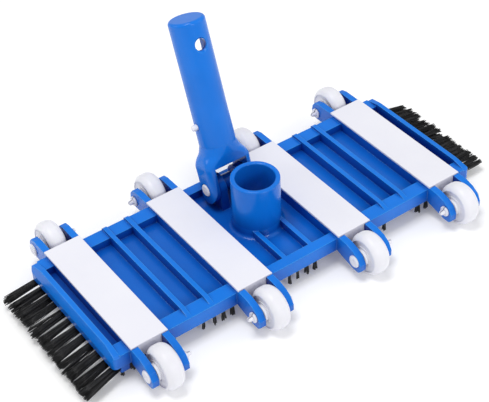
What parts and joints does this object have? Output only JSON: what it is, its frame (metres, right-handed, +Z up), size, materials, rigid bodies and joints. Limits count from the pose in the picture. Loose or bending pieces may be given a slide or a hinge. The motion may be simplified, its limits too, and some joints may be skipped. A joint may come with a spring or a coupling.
{
  "type": "manual pool vacuum head",
  "caption": "Long flexible pool vacuum head on wheels, with a central hose socket, a tilting pole handle with a press button, weight covers and brushes along its edges.",
  "frame": {"origin": "on the floor the wheels stand on, straight below the axis of the hose socket", "axes": "+X along the body, -Y the front, away from the handle, +Z up along the hose socket"},
  "size_m": [0.388, 0.194, 0.1657],
  "materials": {
    "blue_plastic": "satin moulded blue plastic",
    "white_plastic": "satin moulded white plastic",
    "wheel_plastic": "slightly translucent white plastic",
    "pin_plastic": "slightly translucent natural plastic",
    "clip_plastic": "smooth white plastic",
    "steel": "plain sawn steel bar",
    "bristle": "black nylon bristles"
  },
  "bodies": {
    "base": {"body_moulding": "blue_plastic", "weight_cover_1": "white_plastic", "weight_cover_2": "white_plastic", "weight_cover_3": "white_plastic", "weight_cover_4": "white_plastic", "weight_1": "steel", "weight_2": "steel", "weight_3": "steel", "weight_4": "steel", "wheel_pin_1_front": "pin_plastic", "wheel_pin_1_back": "pin_plastic", "wheel_pin_2_front": "pin_plastic", "wheel_pin_2_back": "pin_plastic", "wheel_pin_3_front": "pin_plastic", "wheel_pin_3_back": "pin_plastic", "wheel_pin_4_front": "pin_plastic", "wheel_pin_4_back": "pin_plastic", "handle_pivot_pin": "pin_plastic", "side_brush_left": "bristle", "side_brush_right": "bristle", "bottom_brush_front": "bristle", "bottom_brush_back": "bristle"},
    "handle": {"handle": "blue_plastic", "clip_spring": "clip_plastic"},
    "clip_button": {"clip_button": "clip_plastic"},
    "wheel_1_front": {"wheel_1_front": "wheel_plastic"},
    "wheel_1_back": {"wheel_1_back": "wheel_plastic"},
    "wheel_2_front": {"wheel_2_front": "wheel_plastic"},
    "wheel_2_back": {"wheel_2_back": "wheel_plastic"},
    "wheel_3_front": {"wheel_3_front": "wheel_plastic"},
    "wheel_3_back": {"wheel_3_back": "wheel_plastic"},
    "wheel_4_front": {"wheel_4_front": "wheel_plastic"},
    "wheel_4_back": {"wheel_4_back": "wheel_plastic"}
  },
  "joints": [
    {"name": "handle_tilt", "type": "hinge", "parent": "base", "child": "handle", "pos_m": [0, 0.0381, 0.0341], "axis": [-1, 0, 0], "range_deg": [-26, 54]},
    {"name": "clip_button_press", "type": "slide", "parent": "handle", "child": "clip_button", "axis": [1, 0, 0], "range_m": [0, 0.0046], "stiffness_N_per_m": 800, "springref_m": -0.003, "deforming": ["clip_spring"]},
    {"name": "wheel_1_front_spin", "type": "hinge", "parent": "base", "child": "wheel_1_front", "pos_m": [-0.1365, -0.08, 0.017], "axis": [1, 0, 0], "continuous": true},
    {"name": "wheel_1_back_spin", "type": "hinge", "parent": "base", "child": "wheel_1_back", "pos_m": [-0.1365, 0.08, 0.017], "axis": [1, 0, 0], "continuous": true},
    {"name": "wheel_2_front_spin", "type": "hinge", "parent": "base", "child": "wheel_2_front", "pos_m": [-0.0461, -0.08, 0.017], "axis": [1, 0, 0], "continuous": true},
    {"name": "wheel_2_back_spin", "type": "hinge", "parent": "base", "child": "wheel_2_back", "pos_m": [-0.0461, 0.08, 0.017], "axis": [1, 0, 0], "continuous": true},
    {"name": "wheel_3_front_spin", "type": "hinge", "parent": "base", "child": "wheel_3_front", "pos_m": [0.0461, -0.08, 0.017], "axis": [1, 0, 0], "continuous": true},
    {"name": "wheel_3_back_spin", "type": "hinge", "parent": "base", "child": "wheel_3_back", "pos_m": [0.0461, 0.08, 0.017], "axis": [1, 0, 0], "continuous": true},
    {"name": "wheel_4_front_spin", "type": "hinge", "parent": "base", "child": "wheel_4_front", "pos_m": [0.1365, -0.08, 0.017], "axis": [1, 0, 0], "continuous": true},
    {"name": "wheel_4_back_spin", "type": "hinge", "parent": "base", "child": "wheel_4_back", "pos_m": [0.1365, 0.08, 0.017], "axis": [1, 0, 0], "continuous": true}
  ]
}
